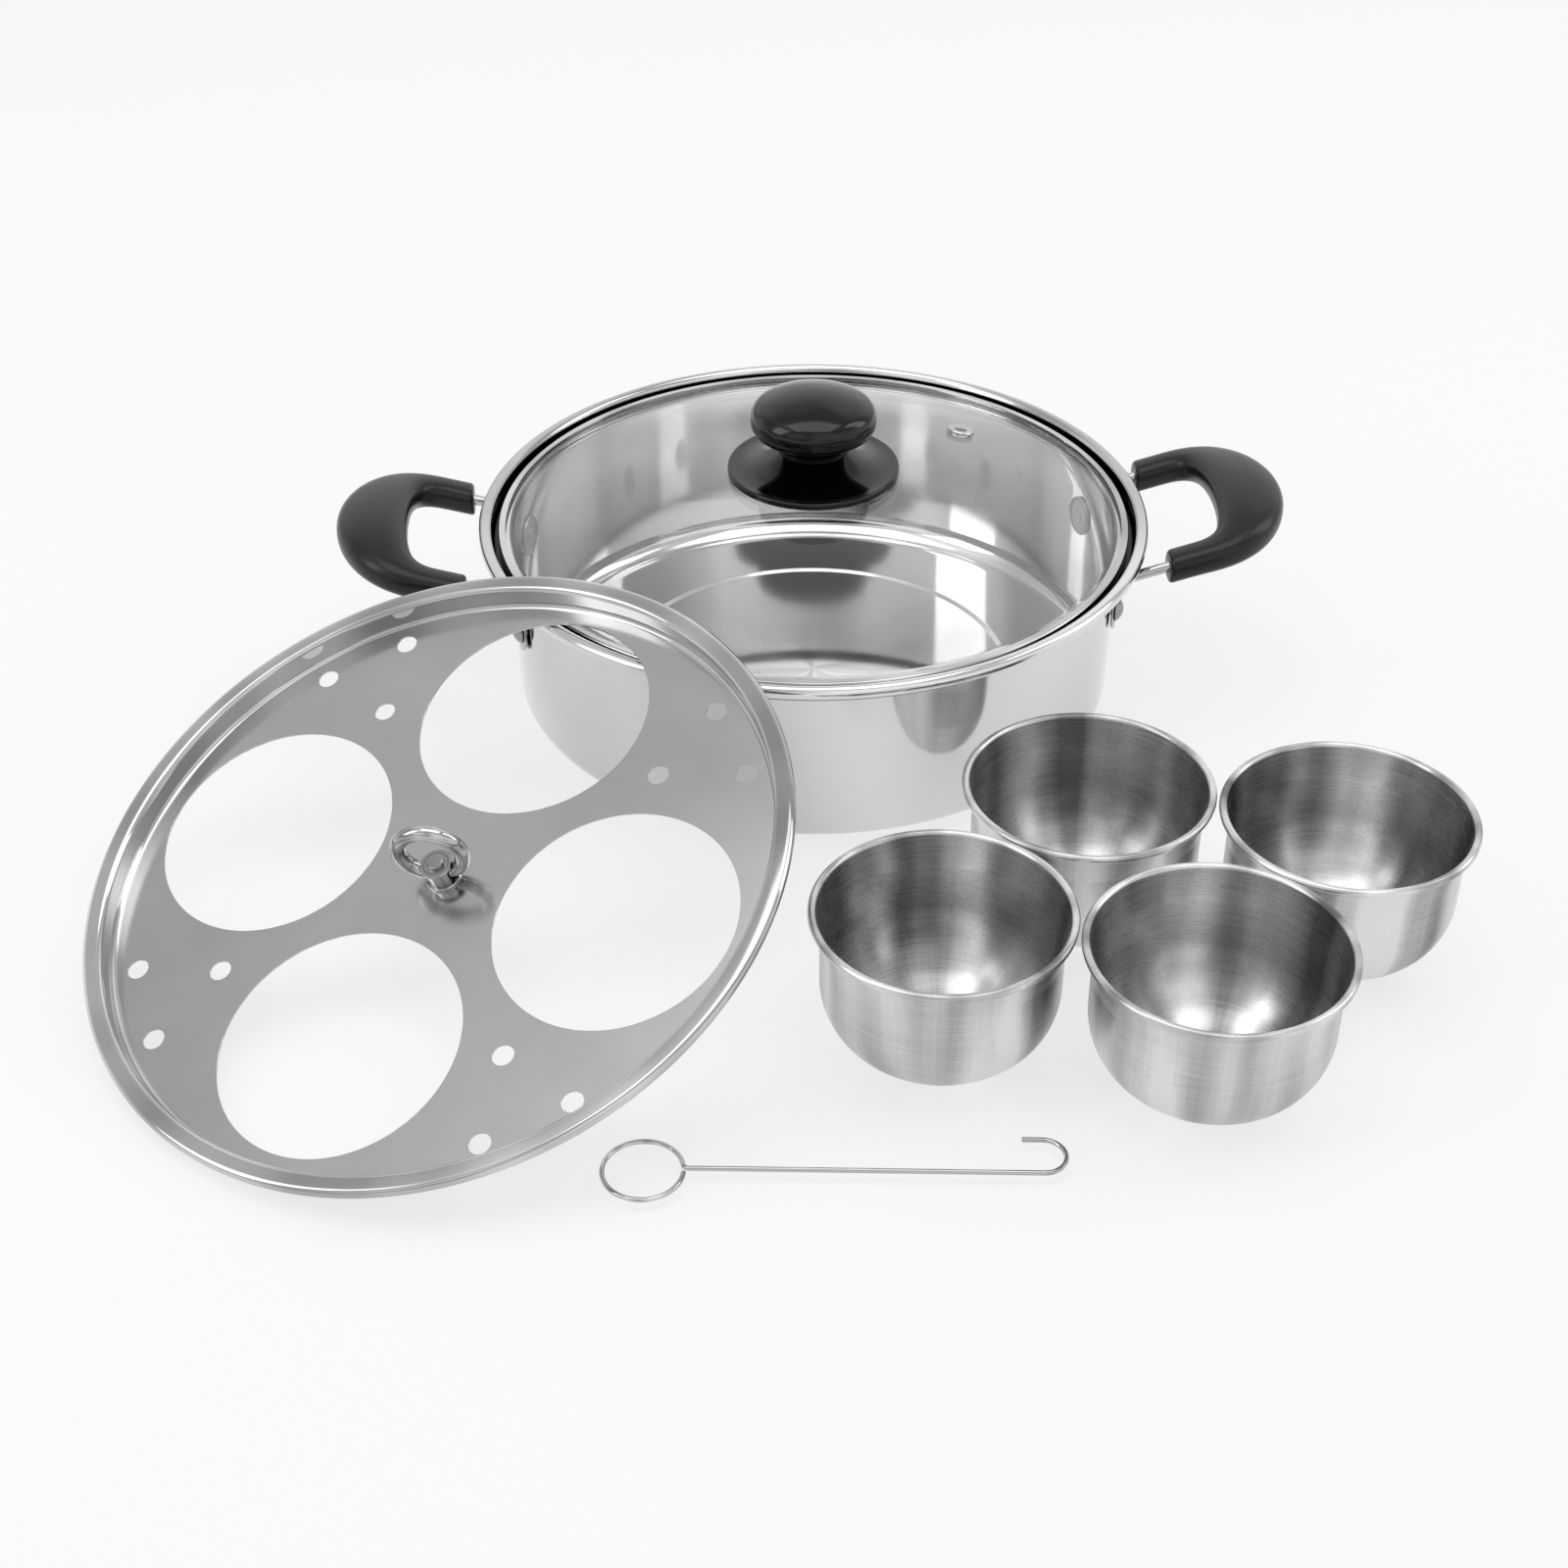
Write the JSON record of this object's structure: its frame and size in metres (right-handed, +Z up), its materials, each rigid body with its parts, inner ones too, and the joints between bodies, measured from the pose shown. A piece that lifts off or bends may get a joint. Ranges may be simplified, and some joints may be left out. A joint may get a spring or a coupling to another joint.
{
  "type": "egg steamer pot",
  "caption": "low two-handled steel pot with a glass lid, a pierced egg tray with a tilting lifting ring, deep egg cups and a wire lifting hook laid out in front",
  "frame": {"origin": "centre of the pot's sunk base pad, on the floor", "axes": "+Z up, +X through the right-hand handle's side of the pot, -Y towards the tray, the cups and the hook"},
  "size_m": [0.4535, 0.4195, 0.1237],
  "materials": {
    "bright_steel": "polished stainless steel",
    "satin_steel": "satin stainless steel",
    "brushed_steel": "spun stainless steel with fine rings",
    "lid_glass": "clear tempered glass",
    "grip_bakelite": "satin black moulding",
    "knob_bakelite": "glossy black moulding"
  },
  "bodies": {
    "set": {"pot_body": "bright_steel", "handle_wire_right": "bright_steel", "handle_wire_left": "bright_steel", "handle_grip_right": "grip_bakelite", "handle_grip_left": "grip_bakelite", "rivet_right_front": "bright_steel", "rivet_right_back": "bright_steel", "rivet_left_front": "bright_steel", "rivet_left_back": "bright_steel", "lid_glass": "lid_glass", "lid_rim": "satin_steel", "vent_eyelet": "bright_steel", "knob_base": "knob_bakelite", "lid_knob": "knob_bakelite", "knob_screw": "bright_steel", "knob_washer": "bright_steel", "egg_tray": "satin_steel", "ring_cap": "bright_steel", "ring_post": "bright_steel", "ring_rivet": "bright_steel", "egg_cup_1": "brushed_steel", "egg_cup_2": "brushed_steel", "egg_cup_3": "brushed_steel", "egg_cup_4": "brushed_steel", "lifting_hook": "bright_steel"},
    "ring": {"lift_ring": "bright_steel"}
  },
  "joints": [
    {"name": "ring_tilt", "type": "hinge", "parent": "set", "child": "ring", "pos_m": [-0.12179, -0.18075, 0.04142], "axis": [0.968, -0.1666, 0.1876], "range_deg": [-88, 90]}
  ]
}
